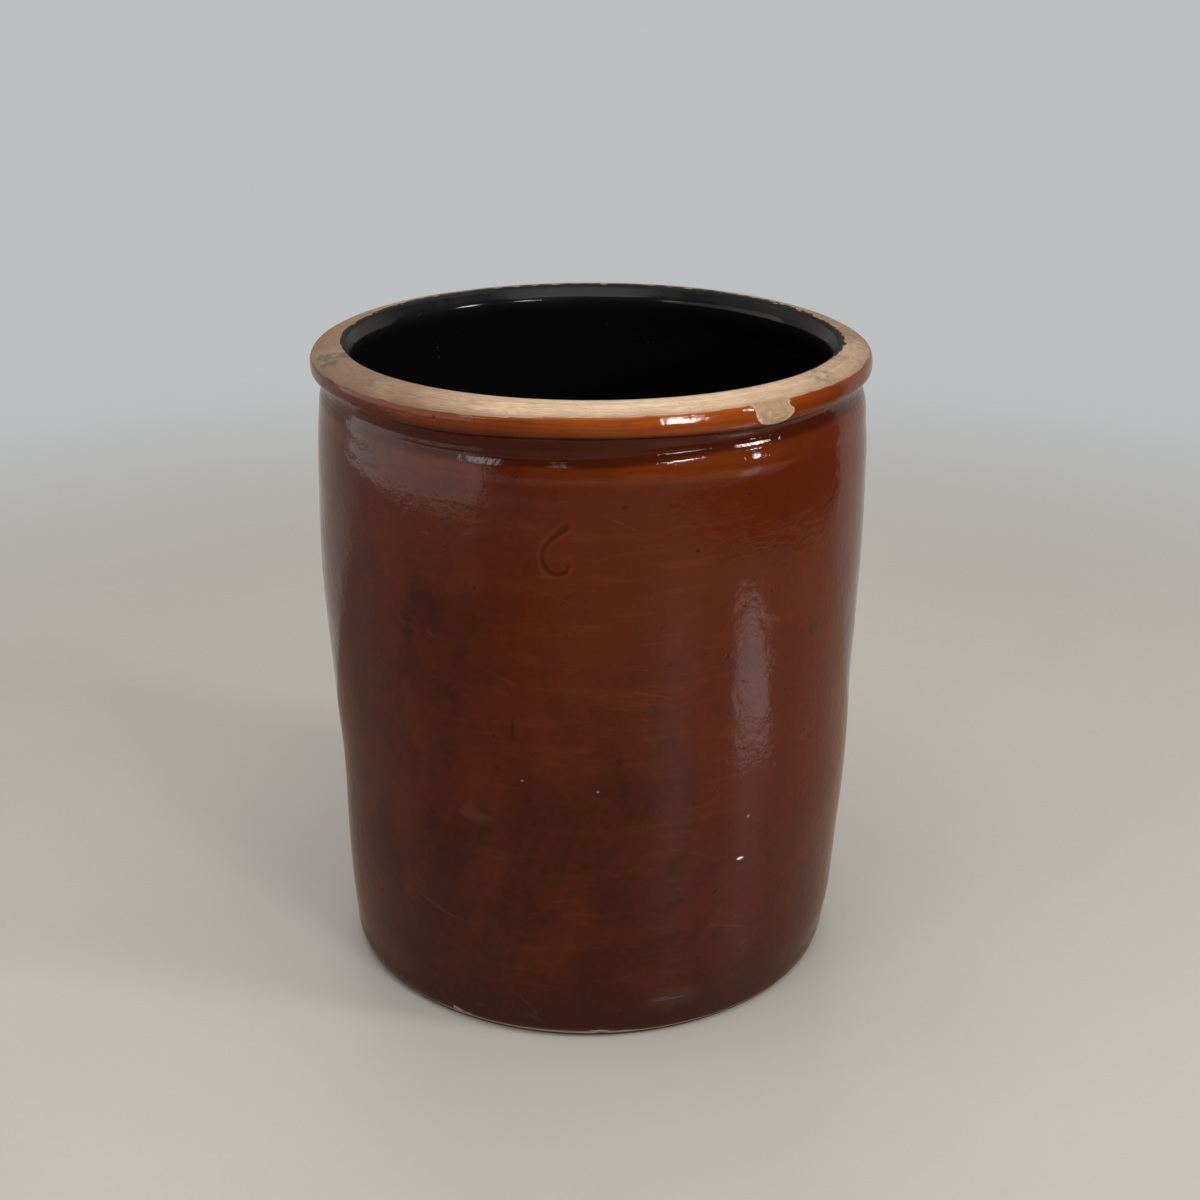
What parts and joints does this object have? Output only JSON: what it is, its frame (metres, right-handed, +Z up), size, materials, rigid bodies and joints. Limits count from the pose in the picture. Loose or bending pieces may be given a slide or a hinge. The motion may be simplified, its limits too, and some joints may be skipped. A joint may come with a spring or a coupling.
{
  "type": "preserving crock",
  "caption": "Open straight-sided stoneware crock with a thick rolled rim, glazed brown outside and black inside, for preserving and storing food.",
  "frame": {"origin": "centre of the flat underside, where the crock stands", "axes": "+Z is up along the axis that the crock was turned on; the front, which carries the incised number, faces -Y, and +X is to the right of someone who looks at the front"},
  "size_m": [0.2112, 0.2112, 0.2474],
  "materials": {
    "bare_stoneware": "matte",
    "brown_glaze": "gloss",
    "black_glaze": "gloss"
  },
  "bodies": {
    "root": {"stoneware_body": "bare_stoneware", "outer_brown_glaze": "brown_glaze", "inner_black_glaze": "black_glaze"}
  },
  "joints": []
}
